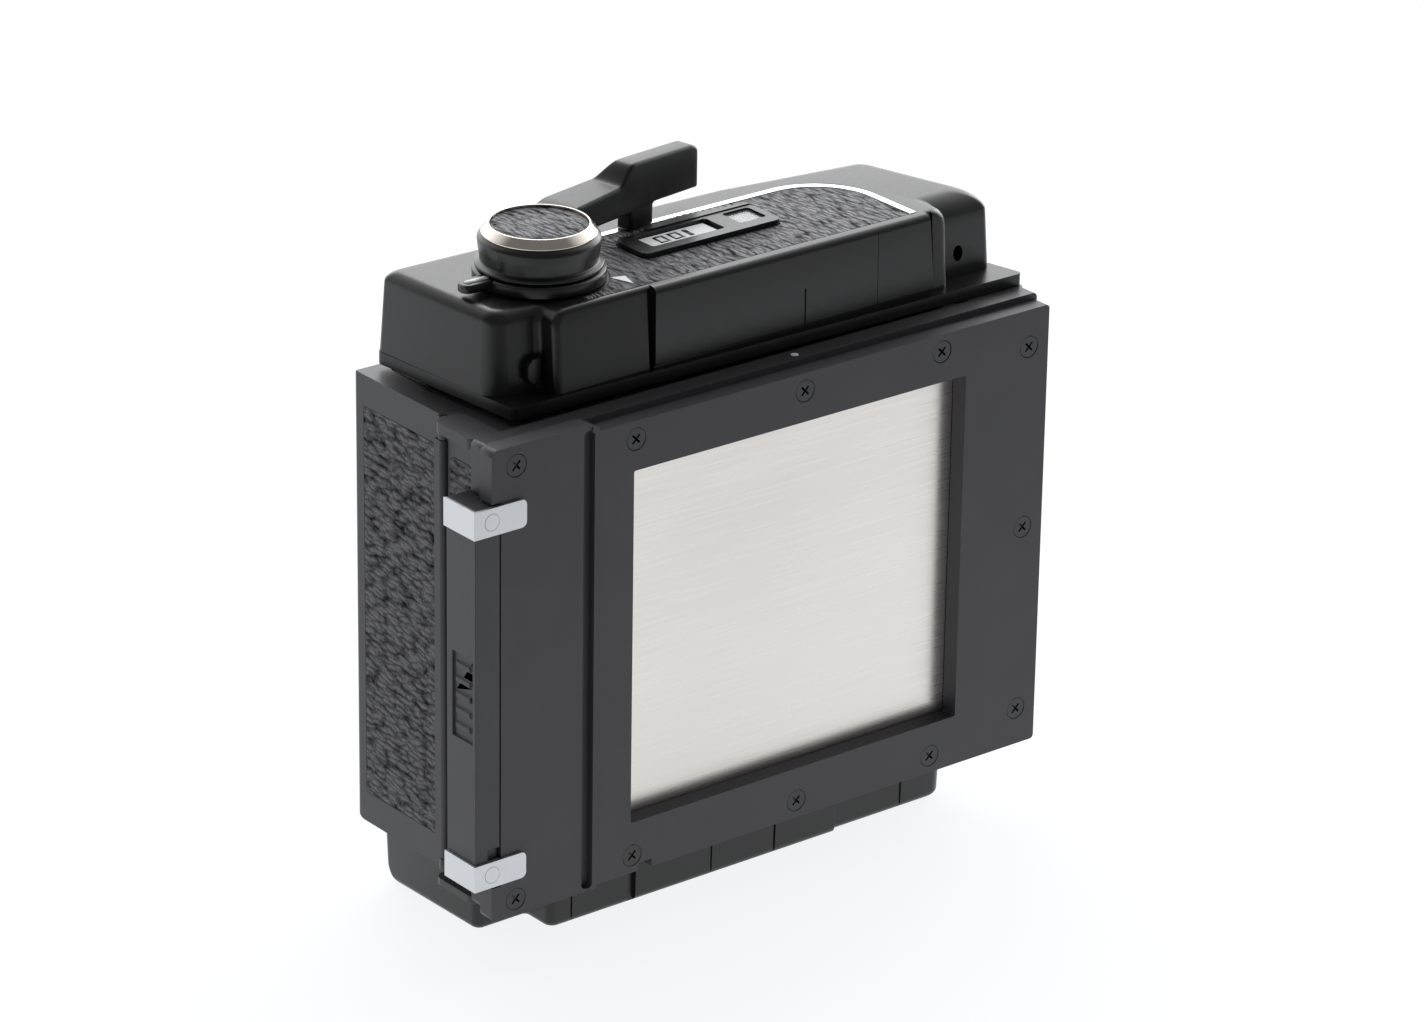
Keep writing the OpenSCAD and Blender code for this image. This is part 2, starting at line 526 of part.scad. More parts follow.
// Plan of the sunk part of the deck: it runs from the hub to a round corner at the back right
module inset_plan(grow, x1, y1) {
  difference() {
    intersection() {
      round_rect(hub_x - 30, x1 + grow, inset_y0 - 30, y1 + grow, x1 - trim_x1 + trim_r + grow);
      translate([hub_x, inset_y0 - grow]) square([100, 100]);
    }
    translate([hub_x, hub_y]) circle(r = 12.4 - grow);
  }
}
module deck_leather() place() color("#18181a") difference() {
  translate([0, 0, deck_z - 0.45]) linear_extrude(0.5) inset_plan(0, trim_x1 - trim_w, trim_y1 - trim_w);
  slab(-13.5, 17.9, 21.7, 31.2, deck_z - 2, deck_z + 2, 1.6);
}
module deck_trim() place() color("#d8d9da") translate([0, 0, deck_z - 0.45]) linear_extrude(0.6) difference() {
  inset_plan(0, trim_x1, trim_y1);
  inset_plan(0.03, trim_x1 - trim_w, trim_y1 - trim_w);
}
module window_frame() place() color("#141416") difference() {
  slab(-13.3, 17.7, 21.9, 31, deck_z - 0.45, deck_z + 1, 1.4);
  slab(-9.8, 6.5, 24.2, 30.1, deck_z - 1, deck_z + 3, 0.6);
  slab(10.2, 16.2, 24.5, 30.1, deck_z - 1, deck_z + 3, 0.6);
}
module window_glass() place() color("#d0d4d8")
  slab(10.3, 16.1, 24.6, 30, deck_z + 0.1, deck_z + 0.6, 0.5);
module format_label() place() color("#e6e6e2")
  slab(-9, 5.8, 25, 29.9, deck_z - 0.45, deck_z + 0.35, 0.2);
module white_marks() place() color("white") {
  translate([-23.8, 18.3, deck_z + 0.07]) linear_extrude(0.08) polygon([[0, 0], [1.6, -4.6], [2.6, -0.8]]);
  rod_z(7.6, 5.4, 0.7, flange_z1 + 0.02, flange_z1 + 0.1);
}
module counter_post() place() color("#a8a8aa") rod_z(dial_x, dial_y, 1.2, rim_z1 - 1.5, dial_z0 + 1.4);
module counter_dial() place() color("#d9d9d4") difference() {
  union() {
    rod_z(dial_x, dial_y, dial_r, dial_z0, dial_z0 + 0.6);
    rod_z(dial_x, dial_y, 2.4, 53.4, dial_z0 + 0.1);
  }
  rod_z(dial_x, dial_y, 1.2 + running, 50, 62);
}
module counter_ratchet() place() color("#a8a8aa") difference() {
  translate([dial_x, dial_y, 54.5]) linear_extrude(1.4) polygon(
    [for (k = [0:11], t = [0, 1]) let (a = 30*k + 3*t, r = t < 1 ? 5 : 6.4) [r*cos(a), r*sin(a)]]);
  rod_z(dial_x, dial_y, 2.41, 50, 62);
}

// ---- lever and hub ----
module release_ring() place() color("#19191b") difference() {
  union() {
    rod_z(hub_x, hub_y, 11.8, deck_z + 0.25, deck_z + 2.5);
    translate([hub_x - 15.6, hub_y - 1.5, deck_z + 0.9]) cube([5, 3, 1.6]);
    rod_z(hub_x - 15.6, hub_y, 1.5, deck_z + 0.9, deck_z + 2.5);
  }
  rod_z(hub_x, hub_y, lever_shaft_r + running, deck_z - 1, deck_z + 4);
  box(hub_x - 15.7, hub_x - 11.1, hub_y - 0.45, hub_y + 0.45, deck_z + 2.3, deck_z + 4);
}
module ring_mark() place() color("white")
  box(hub_x - 15.6, hub_x - 11.2, hub_y - 0.4, hub_y + 0.4, deck_z + 2.32, deck_z + 2.58);
module lever_hub() place() color("#161618") difference() {
  union() {
    rod_z(hub_x, hub_y, 11.4, deck_z + 2.75, deck_z + 3.8);
    rod_z(hub_x, hub_y, 10.9, deck_z + 3.7, deck_z + 8.6);
    rod_z(hub_x, hub_y, 8.8, deck_z + 8.5, deck_z + 9.5);
  }
  rod_z(hub_x, hub_y, lever_shaft_r, deck_z + 1, shaft_top_z);
  lever_seat();
}
module hub_chrome_ring() place() color("#cbbfae") translate([hub_x, hub_y, 0]) rotate_extrude() polygon([
  [8.82, deck_z + 8.62], [10.05, deck_z + 8.62], [10.05, deck_z + 8.95], [9.1, deck_z + 10.3], [8.82, deck_z + 10.3]]);
module hub_leather_disc() place() color("#1b1b1d") rod_z(hub_x, hub_y, 8.75, deck_z + 9.52, deck_z + 9.9);
// Plan of the arm: straight along its front, tapering from the hub to the thumb pad
module arm_plan() {
  difference() {
    polygon([[-2, 2.1], [46.6, 2.1], [46.6, 6.7], [28.4, 6.7], [25, 9.8], [-2, 12.2]]);
    circle(r = seat_r + 0.05);
  }
}
module lever_seat() {
  translate([hub_x, hub_y, deck_z + 3.55]) rotate([0, 0, lever_angle]) linear_extrude(4.4) difference() {
    translate([-2.05, 2.05]) square([20, 10.3]);
    circle(r = seat_r);
  }
}
// Side view of the arm: distance from the axis and height above the deck
module arm_profile() {
  polygon([
    [-2, 3.6], [46.6, 3.6], [46.4, 10.8], [45.4, 11.9], [30, 12.75], [28.9, 12.6], [27.6, 11.6],
    [26, 9.9], [23.6, 9.1], [11.4, 8.5], [11.3, 7.9], [-2, 7.9]
  ]);
}
module advance_lever() place() color("#1a1a1c") translate([hub_x, hub_y, deck_z]) rotate([0, 0, lever_angle]) {
  intersection() {
    linear_extrude(20) arm_plan();
    translate([0, 20, 0]) rotate([90, 0, 0]) linear_extrude(20) arm_profile();
  }
  translate([foot_x0, 2.1, 0.3]) cube([9.2, 4.4, 3.8]);
}
module lock_button() place() color("#232325") {
  box(-44.2, -42.1, 13.6, 18, 48.6, 53.4);
  intersection() {
    rod_y(-43, 51, 2.4, 13.6, 18);
    box(-45.1, -43, 13, 19, 48, 54);
  }
}

// ---- bottom block ----
// Corners of the block below the casing: x, y and radius at its top
base_corners = [[-51.6, 19.6, 2], [-51.6, 44, 2], [46.4, 41, 5], [46.4, 22.6, 5]];
module bottom_cover() place() color("#1d1d1f") difference() {
  union() {
    hull() for (l = base_levels, c = base_corners)
      translate([c[0], c[1], block_bottom_z - l[0]]) cylinder(r = c[2] - l[1], h = 0.02, $fn = 32);
    hull() for (l = base_levels)
      translate([-42.5 + l[1], 10.4 + l[1], block_bottom_z - l[0]]) cube([base_step_x + 42.5 - l[1], 20, 0.02]);
    hull() for (l = base_levels)
      translate([base_step_x - 20, 11.3 + l[1], block_bottom_z - l[0]]) cube([71.4 - base_step_x - l[1], 20, 0.02]);
  }
  slab(-46, 44, 20, 39, block_bottom_z - 10.8, block_bottom_z + 1, 3);
  for (x = [-37.3, -5.3, 9.5, 40.4]) box(x - 0.3, x + 0.3, 9, 11.8, -60, block_bottom_z - 0.5);
  box(-24.8, -22.6, 9, 11.8, -60, block_bottom_z - 0.5);
  for (p = base_screws) {
    rod_z(p[0], p[1], screw_r + running, -60, block_bottom_z + 1);
    rod_z(p[0], p[1], 2.3, -60, block_bottom_z - 10.6);
  }
}
module cover_screws() place() color("#3a3a3c") {
  for (p = base_screws) {
    rod_z(p[0], p[1], screw_r, block_bottom_z - 10.7, -inner_z - 0.2);
    rod_z(p[0], p[1], 2, block_bottom_z - 12, block_bottom_z - 10.65);
  }
  for (p = mech_screws) {
    rod_z(p[0], p[1], screw_r, inner_z + 0.2, rim_z1 + 0.1);
    rod_z(p[0], p[1], 2, rim_z1 + 0.02, rim_z1 + 1.2);
  }
}

front_plate();
plate_screws();
body_frame();
film_gate();
dark_slide_sheet();
dark_slide_handle();
handle_clips();
clip_rivets();
light_trap_felt();
body_leather_patch();
hinge_pin();
cover_light_seals();
rear_cover();
cover_leather_left();
cover_leather_right();
cover_leather_back();
memo_holder();
cover_latch();
insert_frame();
takeup_side_roller();
supply_side_roller();
metering_roller();
pressure_plate();
pressure_springs();
takeup_spool();
takeup_shaft();
takeup_gear();
takeup_lower_pin();
supply_lower_pin();
supply_upper_pin();
takeup_pin_spring();
supply_pin_spring();
mechanism_plate();
bearing_bridge();
idler_post();
idler_gear();
lever_gear();
lever_shaft();
lever_return_spring();
lever_hub();
advance_lever();
hub_chrome_ring();
hub_leather_disc();
release_ring();
ring_mark();
counter_post();
counter_dial();
counter_ratchet();
top_cover();
front_fascia();
deck_leather();
deck_trim();
window_frame();
window_glass();
format_label();
white_marks();
lock_button();
bottom_cover();
cover_screws();
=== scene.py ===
import json
import math

import bmesh
import bpy
from mathutils import Matrix, Vector


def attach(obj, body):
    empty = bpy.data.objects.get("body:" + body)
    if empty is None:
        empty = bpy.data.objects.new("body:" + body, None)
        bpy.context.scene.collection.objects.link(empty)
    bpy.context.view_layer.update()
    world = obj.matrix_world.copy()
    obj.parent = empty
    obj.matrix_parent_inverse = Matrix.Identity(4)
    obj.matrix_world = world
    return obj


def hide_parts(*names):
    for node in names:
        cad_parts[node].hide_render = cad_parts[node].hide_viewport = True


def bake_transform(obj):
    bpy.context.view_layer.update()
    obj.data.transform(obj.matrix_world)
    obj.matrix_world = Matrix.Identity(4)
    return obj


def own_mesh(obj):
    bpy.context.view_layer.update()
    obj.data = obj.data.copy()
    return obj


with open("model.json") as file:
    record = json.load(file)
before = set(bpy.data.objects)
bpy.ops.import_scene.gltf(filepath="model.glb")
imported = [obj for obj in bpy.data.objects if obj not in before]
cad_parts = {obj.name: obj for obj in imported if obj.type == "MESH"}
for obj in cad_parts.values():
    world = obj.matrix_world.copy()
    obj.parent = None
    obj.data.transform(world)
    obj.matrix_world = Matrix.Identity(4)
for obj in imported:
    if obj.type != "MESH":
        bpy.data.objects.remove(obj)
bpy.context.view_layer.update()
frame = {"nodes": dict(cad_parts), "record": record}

# Plate coordinates, in mm: x and z from the middle of the front plate, y back from its front face.
# MIDDLE is where their origin lies in the frame.
MIDDLE = Vector((2.05, -24.825, 56.3))
# Axis of the hub, and the heights of the rim, the deck, the casing's underside and the foot's underside
HUB = (-33.5, 26.0)
RIM_TOP = 47.2
DECK = 62.4
BLOCK_BOTTOM = -43.6
BASE = -56.3


def at(x, y, z):
    return (Vector((x, y, z)) + MIDDLE) / 1000


# ---- materials ----
def add(tree, kind, links=None, **settings):
    """A node with its settings; links gives its inputs a value or another node's output."""
    n = tree.nodes.new(kind)
    for key, value in settings.items():
        setattr(n, key, value)
    for key, value in (links or {}).items():
        if isinstance(value, bpy.types.NodeSocket):
            tree.links.new(value, n.inputs[key])
        else:
            n.inputs[key].default_value = value
    return n


def new_material(name, colour, roughness, metallic=0.0, specular=0.5):
    m = bpy.data.materials.new(name)
    m.use_nodes = True
    tree = m.node_tree
    shader = tree.nodes["Principled BSDF"]
    shader.inputs["Base Color"].default_value = (*colour, 1)
    shader.inputs["Roughness"].default_value = roughness
    shader.inputs["Metallic"].default_value = metallic
    shader.inputs["Specular IOR Level"].default_value = specular
    m.diffuse_color = (*colour, 1)
    return m, tree, shader


def place_of(tree, scale):
    """Object coordinates, stretched: scale is cells per metre along x, y and z."""
    coords = add(tree, "ShaderNodeTexCoord")
    return add(tree, "ShaderNodeMapping", {"Vector": coords.outputs["Object"], "Scale": scale}).outputs[0]


def spread(tree, value, low, high, source=(0.3, 0.7)):
    """Maps the source range to low..high; the default is where a noise texture mostly lies."""
    return add(tree, "ShaderNodeMapRange", {
        "Value": value, "From Min": source[0], "From Max": source[1],
        "To Min": low, "To Max": high}).outputs[0]


def speckle(tree, scale, detail=3.0):
    place = place_of(tree, scale)
    return add(tree, "ShaderNodeTexNoise", {"Vector": place, "Scale": 1.0, "Detail": detail}).outputs[0]


def grained(name, colour, roughness, grain, depth, metallic=0.0, specular=0.5, tint=0.12,
            wear=0.03, stretch=(1, 1, 1)):
    """A painted, moulded or rolled surface: grain is its size in mm and depth the relief's, in mm.

    tint is how far the colour varies, wear how far the roughness does, and stretch the grain's shape."""
    m, tree, shader = new_material(name, colour, roughness, metallic, specular)
    fine = speckle(tree, [1000 / grain * s for s in stretch])
    broad = speckle(tree, (90, 90, 90), 4.0)
    shade = spread(tree, broad, 1 - tint, 1 + tint)
    mixed = add(tree, "ShaderNodeMix", {"Factor": 1.0, "A": (*colour, 1)},
                data_type="RGBA", blend_type="MULTIPLY")
    tree.links.new(shade, mixed.inputs["B"])
    tree.links.new(mixed.outputs["Result"], shader.inputs["Base Color"])
    tree.links.new(spread(tree, fine, roughness - wear, roughness + wear), shader.inputs["Roughness"])
    bump = add(tree, "ShaderNodeBump", {"Height": fine, "Distance": depth / 1000, "Strength": 1.0})
    tree.links.new(bump.outputs[0], shader.inputs["Normal"])
    return m


# The leatherette: how far its ridges wander and how high they are in metres, cells per metre of the ridges
# and of the fine pebbles on them, and the colours of a crease and of a crest: the crease colour is painted
# shade and the crest colour painted highlight
WANDER = 0.0016
RELIEF = 0.00045
RIDGES = (1250, 330, 1150)
PEBBLES = (3000, 1800, 3000)
CREASE_SHADE = (0.005, 0.005, 0.006, 1)
CREST_HIGHLIGHT = (0.1, 0.099, 0.107, 1)


def leatherette(name):
    """Wavy ridges along y, with painted shade darkening the creases between them and painted highlight on
    their crests.
    """
    m, tree, shader = new_material(name, (0.03, 0.03, 0.032), 0.4)
    place = place_of(tree, (1, 1, 1))
    wander = add(tree, "ShaderNodeTexNoise", {"Vector": place, "Scale": 330.0, "Detail": 2.0})
    moved = add(tree, "ShaderNodeVectorMath", {0: wander.outputs["Color"], 1: (WANDER, WANDER, WANDER)},
                operation="MULTIPLY")
    joined = add(tree, "ShaderNodeVectorMath", {0: place, 1: moved.outputs[0]}, operation="ADD")
    laid = add(tree, "ShaderNodeMapping", {"Vector": joined.outputs[0], "Scale": RIDGES})
    cells = add(tree, "ShaderNodeTexVoronoi", {"Vector": laid.outputs[0], "Scale": 1.0}, feature="SMOOTH_F1")
    cells.inputs["Smoothness"].default_value = 0.25
    small = add(tree, "ShaderNodeMapping", {"Vector": joined.outputs[0], "Scale": PEBBLES})
    pebbles = add(tree, "ShaderNodeTexVoronoi", {"Vector": small.outputs[0], "Scale": 1.0},
                  feature="SMOOTH_F1")
    dome = add(tree, "ShaderNodeMath", {0: pebbles.outputs["Distance"], 1: -0.3, 2: 0.8},
               operation="MULTIPLY_ADD")
    height = add(tree, "ShaderNodeMath", {0: dome.outputs[0], 1: cells.outputs["Distance"]},
                 operation="SUBTRACT")
    bump = add(tree, "ShaderNodeBump", {"Height": height.outputs[0], "Distance": RELIEF, "Strength": 1.0})
    tree.links.new(bump.outputs[0], shader.inputs["Normal"])
    # Painted light: 0 is painted shade in a crease, 1 painted highlight on a crest; it also sets the colour,
    # specular level and roughness
    crest_light = spread(tree, height.outputs[0], 0.0, 1.0, (-0.25, 0.38))
    mixed = add(tree, "ShaderNodeMix", {"Factor": crest_light, "A": CREASE_SHADE, "B": CREST_HIGHLIGHT}, data_type="RGBA")
    tree.links.new(mixed.outputs["Result"], shader.inputs["Base Color"])
    tree.links.new(spread(tree, crest_light, 0.03, 0.3, (0, 1)), shader.inputs["Specular IOR Level"])
    tree.links.new(spread(tree, crest_light, 0.6, 0.42, (0, 1)), shader.inputs["Roughness"])
    return m


def brushed_sheet(name):
    """Bare metal with fine lines brushed along it."""
    m, tree, shader = new_material(name, (0.76, 0.73, 0.69), 0.3, 1.0)
    lines = speckle(tree, (60, 60, 5200), 3.0)
    cloud = speckle(tree, (14, 14, 20), 2.0)
    colour = add(tree, "ShaderNodeValToRGB", {"Fac": cloud})
    colour.color_ramp.elements[0].position = 0.3
    colour.color_ramp.elements[0].color = (0.74, 0.705, 0.665, 1)
    colour.color_ramp.elements[1].position = 0.7
    colour.color_ramp.elements[1].color = (0.79, 0.76, 0.72, 1)
    tree.links.new(colour.outputs[0], shader.inputs["Base Color"])
    tree.links.new(spread(tree, lines, 0.26, 0.36), shader.inputs["Roughness"])
    bump = add(tree, "ShaderNodeBump", {"Height": lines, "Distance": 0.000004, "Strength": 1.0})
    tree.links.new(bump.outputs[0], shader.inputs["Normal"])
    return m


def clear_window(name):
    m, tree, shader = new_material(name, (0.95, 0.96, 0.98), 0.05)
    shader.inputs["Transmission Weight"].default_value = 0.92
    shader.inputs["IOR"].default_value = 1.45
    tree.links.new(spread(tree, speckle(tree, (300, 300, 300)), 0.03, 0.08), shader.inputs["Roughness"])
    return m


MATERIALS = {
    "granular_black_paint": grained("granular_black_paint", (0.042, 0.041, 0.047), 0.48, 0.22, 0.012,
                                    tint=0.08),
    "screw_black": grained("screw_black", (0.02, 0.02, 0.02), 0.33, 0.3, 0.003, specular=0.55),
    "body_black": grained("body_black", (0.036, 0.036, 0.039), 0.42, 0.35, 0.006),
    "gate_black": grained("gate_black", (0.014, 0.014, 0.015), 0.6, 0.3, 0.01),
    "slide_steel": brushed_sheet("slide_steel"),
    "clip_white_metal": grained("clip_white_metal", (0.66, 0.67, 0.69), 0.42, 0.25, 0.002,
                                metallic=1.0, tint=0.02),
    "felt": grained("felt", (0.01, 0.01, 0.011), 0.95, 0.2, 0.08),
    "leatherette": leatherette("leatherette"),
    "steel": grained("steel", (0.52, 0.52, 0.53), 0.28, 0.3, 0.002, metallic=1.0, stretch=(1, 1, 0.1)),
    "spool_plastic": grained("spool_plastic", (0.02, 0.02, 0.022), 0.35, 0.6, 0.004),
    "brass": grained("brass", (0.62, 0.44, 0.19), 0.3, 0.3, 0.002, metallic=1.0),
    "gloss_black": grained("gloss_black", (0.0075, 0.0075, 0.0078), 0.31, 0.6, 0.002, tint=0.06),
    "lever_black": grained("lever_black", (0.008, 0.008, 0.0085), 0.36, 0.6, 0.001,
                           specular=0.45, tint=0.06),
    "warm_nickel": grained("warm_nickel", (0.70, 0.645, 0.58), 0.14, 0.5, 0.001,
                           metallic=1.0, tint=0.04),
    "trim_chrome": grained("trim_chrome", (0.82, 0.84, 0.87), 0.18, 0.5, 0.001,
                           metallic=1.0, tint=0.02),
    "window_clear": clear_window("window_clear"),
    "white_print": grained("white_print", (0.74, 0.75, 0.76), 0.5, 0.2, 0.002, tint=0.03),
}


# ---- making pieces ----
def finish_piece(o, body, slot, hides=()):
    """Gives a piece its material, the body it rides on and the CAD nodes that it stands in for."""
    o.data.materials.clear()
    o.data.materials.append(MATERIALS[slot])
    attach(o, body)
    if hides:
        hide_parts(*hides)
    return o


def make_mesh(name, points, faces):
    mesh = bpy.data.meshes.new(name)
    mesh.from_pydata([at(*p) for p in points], [], faces)
    mesh.validate()
    bm = bmesh.new()
    bm.from_mesh(mesh)
    bmesh.ops.recalc_face_normals(bm, faces=bm.faces)
    bm.to_mesh(mesh)
    bm.free()
    for f in mesh.polygons:
        f.use_smooth = True
    o = bpy.data.objects.new(name, mesh)
    bpy.context.scene.collection.objects.link(o)
    return o


def corner_arc(before, corner, after, radius, steps):
    """Points of a fillet at a corner of a flat path."""
    p, a, b = Vector(corner), Vector(before), Vector(after)
    u, v = (a - p).normalized(), (b - p).normalized()
    angle = u.angle(v)
    if radius < 1e-6 or angle > math.pi - 1e-4:
        return [p.copy() for _ in range(steps + 1)]
    reach = min(radius / math.tan(angle / 2), 0.49 * (a - p).length, 0.49 * (b - p).length)
    radius = reach * math.tan(angle / 2)
    centre = p + (u + v).normalized() * (radius / math.sin(angle / 2))
    start, end = p + u * reach - centre, p + v * reach - centre
    sweep = math.atan2(start.x * end.y - start.y * end.x, start.dot(end))
    return [centre + Matrix.Rotation(sweep * i / steps, 2) @ start for i in range(steps + 1)]


def fillet(corners, steps=6, closed=True):
    """A path through (u, v, radius) corners, with its corners rounded."""
    n = len(corners)
    points = []
    for i, (u, v, r) in enumerate(corners):
        if not closed and i in (0, n - 1):
            points.append(Vector((u, v)))
        else:
            points += corner_arc(corners[i - 1][:2], (u, v), corners[(i + 1) % n][:2], r, steps)
    return points


def loft(name, rings, first_cap=True, last_cap=True, closed=True):
    """A skin over rings of points that all have the same count."""
    n = len(rings[0])
    points = [p for ring in rings for p in ring]
    faces = []
    for k in range(len(rings) - 1):
        for i in range(n if closed else n - 1):
            j = (i + 1) % n
            faces.append((k * n + i, k * n + j, (k + 1) * n + j, (k + 1) * n + i))
    if first_cap:
        faces.append(tuple(reversed(range(n))))
    if last_cap:
        faces.append(tuple((len(rings) - 1) * n + i for i in range(n)))
    return make_mesh(name, points, faces)


def lathe(name, profile, centre, steps=128, ring=False):
    """A turned piece round a vertical axis. profile is a path of (radius, z); a ring's profile is closed."""
    rings = []
    for r, z in profile:
        rings.append([(centre[0] + r * math.cos(2 * math.pi * i / steps),
                       centre[1] + r * math.sin(2 * math.pi * i / steps), z) for i in range(steps)])
    if ring:
        rings.append(rings[0])
        o = loft(name, rings, False, False)
    else:
        o = loft(name, rings, True, True)
    weld(o)
    return o


def weld(o):
    bm = bmesh.new()
    bm.from_mesh(o.data)
    bmesh.ops.remove_doubles(bm, verts=bm.verts, dist=1e-7)
    bmesh.ops.recalc_face_normals(bm, faces=bm.faces)
    bm.to_mesh(o.data)
    bm.free()


def modify(o, kind, **settings):
    m = o.modifiers.new(kind.title(), kind)
    for key, value in settings.items():
        setattr(m, key, value)
    return m


def apply_modifiers(o):
    bpy.context.view_layer.update()
    made = bpy.data.meshes.new_from_object(o.evaluated_get(bpy.context.evaluated_depsgraph_get()))
    o.modifiers.clear()
    o.data = made
    return o


def carve(o, cutters):
    """Cuts each cutter out of a piece, and removes the cutters."""
    for c in cutters:
        modify(o, "BOOLEAN", object=c, operation="DIFFERENCE", solver="EXACT")
    apply_modifiers(o)
    for c in cutters:
        bpy.data.objects.remove(c)
    return o


def soften(o, width, angle=32, segments=3):
    modify(o, "BEVEL", width=width / 1000, segments=segments, limit_method="ANGLE",
           angle_limit=math.radians(angle), harden_normals=True, use_clamp_overlap=True)
    return o


def shade_by_angle(o, angle=30):
    for f in o.data.polygons:
        f.use_smooth = True
    o.data.set_sharp_from_angle(angle=math.radians(angle))
    return o


def prism(name, path, low, high):
    """A flat outline pulled straight up, from low to high."""
    return loft(name, [[(p[0], p[1], z) for p in path] for z in (low, high)])


def merge(name, parts):
    """Several meshes as one piece."""
    bm = bmesh.new()
    for o in parts:
        bm.from_mesh(o.data)
        bpy.data.objects.remove(o)
    mesh = bpy.data.meshes.new(name)
    bm.to_mesh(mesh)
    bm.free()
    o = bpy.data.objects.new(name, mesh)
    bpy.context.scene.collection.objects.link(o)
    return o


# ---- winding block ----
# Corners of the block at its foot: x, y, upright radius, radius of the top edge, and the way in per mm
BLOCK = [
    (60.6, 13.3, 1.6, 4.2, -1.25, 1.0),
    (52.4, 41.6, 5.0, 3.6, -0.79, -0.93),
    (20.0, 44.9, 8.0, 2.6, -0.06, -1.0),
    (-54.2, 46.4, 1.8, 2.3, 1.08, -1.02),
    (-51.7, 14.9, 4.0, 2.3, 0.92, 1.0),
]
# The widest round of the top edge, and the walls' thickness in metres
TOP_ROUND = 4.2
BLOCK_WALL = 0.0013


def round_in(z, top, radius):
    """How far a rounded top edge of this radius has come in at height z."""
    over = z - (top - radius)
    return 0 if over <= 0 else radius - math.sqrt(max(radius * radius - over * over, 0))


def block_path(z):
    """Outline of the block and its proud front part at height z, with draft and a round top edge."""
    up = (z - RIM_TOP) / (DECK - RIM_TOP)
    t = [0.9 * up + round_in(z, DECK, c[3]) for c in BLOCK]
    lean = 1.1 * up + round_in(z, DECK, 0.9)
    side = round_in(z, DECK, 2.8)
    walls = [(x + t[i] * u, y + t[i] * v, max(r - 0.75 * t[i], 0.7 + 0.45 * t[i]))
             for i, (x, y, r, _, u, v) in enumerate(BLOCK)]
    front = 14.9 + 0.9 * up + round_in(z, DECK, 2.3)
    nose_y = 9.9 + lean
    left = -41.5 + round_in(z, DECK, 3.4)
    return fillet([
        (left, nose_y, 1.3), (47.3 - side, nose_y, 2.4),
        (47.3 - side, walls[0][1], 0.8), *walls, (left, front, 1.4),
    ], 8)


def inset_path(grow):
    """Outline of the sunk part of the deck, from the hub to a round corner at the back right."""
    x1, y0, y1 = 40.8 + grow, 12.2 - grow, 37.0 + grow
    hole = 12.4 - grow
    start = HUB[0] + math.sqrt(hole * hole - (y1 - HUB[1]) ** 2)
    corner = fillet([(start, y1, 0), (x1, y1, 13.5 + grow), (x1, y0, 0), (HUB[0], y0, 0)], 16, closed=False)
    end = math.asin((y1 - HUB[1]) / hole)
    turn_by = [-math.pi / 2 + (end + math.pi / 2) * i / 40 for i in range(40)]
    return corner + [Vector((HUB[0] + hole * math.cos(a), HUB[1] + hole * math.sin(a))) for a in turn_by]


LEVELS = [RIM_TOP + 0.02, 51, 55, 57]
LEVELS += [DECK - TOP_ROUND + TOP_ROUND * math.sin(math.radians(5 * i)) for i in range(1, 19)]


def button_hole(gap):
    """The shape of the lock button's hole: flat to the right, round to the left."""
    outline = [(-42.1 + gap, 48.6 - gap), (-42.1 + gap, 53.4 + gap)] + [
        (-43 + (2.1 + gap) * math.cos(math.radians(a)), 51 + (2.4 + gap) * math.sin(math.radians(a)))
        for a in range(90, 271, 12)]
    return loft("cut", [[(x, y, z) for x, z in outline] for y in (11, 19)])


def side_hole(x, z, half_w, half_h):
    """An oval hole through the front wall."""
    turn_by = [math.radians(15 * i) for i in range(24)]
    return loft("cut", [[(x + half_w * math.cos(a), y, z + half_h * math.sin(a)) for a in turn_by]
                        for y in (9, 17)])


skin = loft("winding_block", [[(p.x, p.y, z) for p in block_path(z)] for z in LEVELS], first_cap=False)
modify(skin, "SOLIDIFY", thickness=BLOCK_WALL, offset=-1.0)
apply_modifiers(skin)
block = carve(skin, [
    # The sunk part of the deck, and the counter's window
    prism("cut", inset_path(0.12), DECK - 0.5, DECK + 2),
    prism("cut", fillet([(10.2, 24.5, 0.6), (16.2, 24.5, 0.6), (16.2, 30.1, 0.6), (10.2, 30.1, 0.6)]),
          DECK - 4, DECK + 1),
    button_hole(0.12),
    # The slits at the right and left ends of the fascia
    loft("cut", [[(43.5 - w, 8, z), (43.5, 8, z), (43.5, 11.4, z), (43.5 - w, 11.4, z)]
                 for z, w in ((47.9, 0.2), (DECK + 1, 1.5))]),
    prism("cut", [(-21.4, 8), (-20.45, 8), (-20.45, 11.7), (-21.4, 11.7)], RIM_TOP, DECK - 0.4),
    side_hole(52.2, 51.6, 1.1, 1.5),
])
shade_by_angle(block, 35)
finish_piece(block, "body", "gloss_black", ["top_cover"])

# The fascia wraps over the top edge, up to the leather. Its right end leans in, and two seams run down it.
FASCIA_FOOT = 47.8
side = fillet([
    (11.6, FASCIA_FOOT, 0), (9.5, FASCIA_FOOT, 0.3), (9.62, DECK + 0.03, 1.5), (12.12, DECK + 0.03, 0),
    (12.12, 60.9, 0)], 8)
fascia = loft("fascia", [[(x0 + lean * (p.y - FASCIA_FOOT), p.x, p.y) for p in side]
                         for x0, lean in ((-20.4, 0), (43.2, -0.085))])
carve(fascia, [
    loft("cut", [[(x - w, 9, z), (x + w, 9, z), (x + w, y, z), (x - w, y, z)] for z in (47, top)])
    for x, w, y, top in ((13.2, 0.14, 10.3, 54.8), (29.9, 0.05, 9.75, 61.6))])
soften(fascia, 0.4, 40, 3)
shade_by_angle(fascia, 40)
finish_piece(fascia, "body", "gloss_black", ["front_fascia"])


